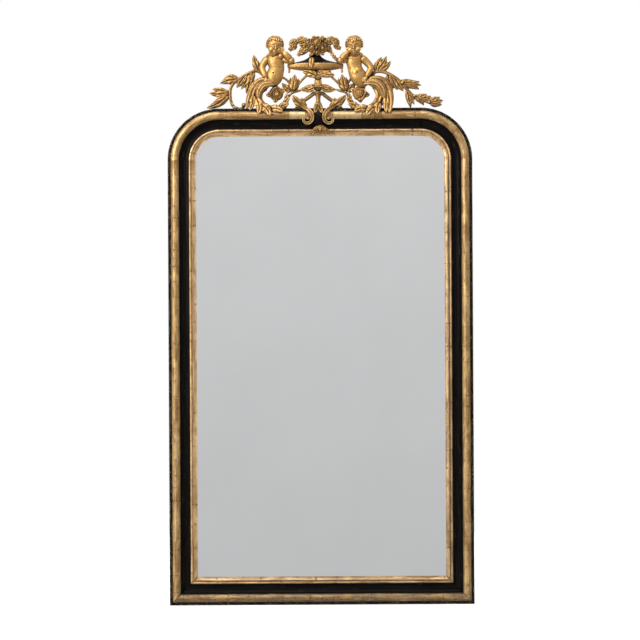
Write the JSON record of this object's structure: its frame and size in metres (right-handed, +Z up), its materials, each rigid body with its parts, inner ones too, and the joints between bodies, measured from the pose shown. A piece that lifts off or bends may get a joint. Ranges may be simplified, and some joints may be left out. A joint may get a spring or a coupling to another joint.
{
  "type": "floor mirror",
  "caption": "Tall standing mirror in a gilt and ebonised moulded frame with rounded top corners and a pierced, carved crest.",
  "frame": {"origin": "on the floor, in the middle of the bottom rail's underside", "axes": "+Z up, +Y towards the back, so the glass faces -Y and +X is the viewer's right"},
  "size_m": [0.945, 0.0856, 1.7667],
  "materials": {
    "carved_gilding": "worn gilding on carved wood",
    "moulding_gilding": "worn gilding on wood",
    "slip_gilding": "pale worn gilding on wood",
    "ebonised_wood": "black polish on wood",
    "mirror_glass": "silvered glass",
    "bare_pine": "bare aged pine",
    "ring_wire": "aged brass wire",
    "iron": "dark iron"
  },
  "bodies": {
    "frame": {"back_board_1": "bare_pine", "back_board_2": "bare_pine", "back_board_3": "bare_pine", "back_board_4": "bare_pine", "back_board_5": "bare_pine", "board_nails": "iron", "bouquet": "carved_gilding", "carcass_bottom": "ebonised_wood", "carcass_corner_left": "ebonised_wood", "carcass_corner_right": "ebonised_wood", "carcass_left": "ebonised_wood", "carcass_right": "ebonised_wood", "carcass_top": "ebonised_wood", "cartouche": "ebonised_wood", "crest_pegs": "bare_pine", "crest_stem": "carved_gilding", "garland_left": "carved_gilding", "garland_right": "carved_gilding", "glazing_blocks": "bare_pine", "hanger_screws": "iron", "hanger_strap_left": "iron", "hanger_strap_right": "iron", "knop": "carved_gilding", "mirror_plate": "mirror_glass", "neck_leaves": "carved_gilding", "outer_moulding_bottom": "moulding_gilding", "outer_moulding_corner_left": "moulding_gilding", "outer_moulding_corner_right": "moulding_gilding", "outer_moulding_left": "moulding_gilding", "outer_moulding_right": "moulding_gilding", "outer_moulding_top": "moulding_gilding", "palmette": "carved_gilding", "putto_left": "carved_gilding", "putto_right": "carved_gilding", "rosette_left": "carved_gilding", "rosette_right": "carved_gilding", "scroll_left": "carved_gilding", "scroll_right": "carved_gilding", "sight_slip_bottom": "slip_gilding", "sight_slip_corner_left": "slip_gilding", "sight_slip_corner_right": "slip_gilding", "sight_slip_left": "slip_gilding", "sight_slip_right": "slip_gilding", "sight_slip_top": "slip_gilding", "spray_left": "carved_gilding", "spray_right": "carved_gilding", "sprig_left": "carved_gilding", "sprig_right": "carved_gilding", "tazza": "carved_gilding", "tazza_dome": "ebonised_wood", "tazza_neck": "ebonised_wood", "volute_left": "carved_gilding", "volute_right": "carved_gilding"},
    "ring_left": {"hanger_ring_left": "ring_wire"},
    "ring_right": {"hanger_ring_right": "ring_wire"}
  },
  "joints": [
    {"name": "ring_left_swing", "type": "hinge", "parent": "frame", "child": "ring_left", "pos_m": [-0.4405, 0.0295, 1.18], "axis": [1, 0, 0], "range_deg": [0, 180]},
    {"name": "ring_right_swing", "type": "hinge", "parent": "frame", "child": "ring_right", "pos_m": [0.4405, 0.0295, 1.18], "axis": [1, 0, 0], "range_deg": [0, 180]}
  ]
}
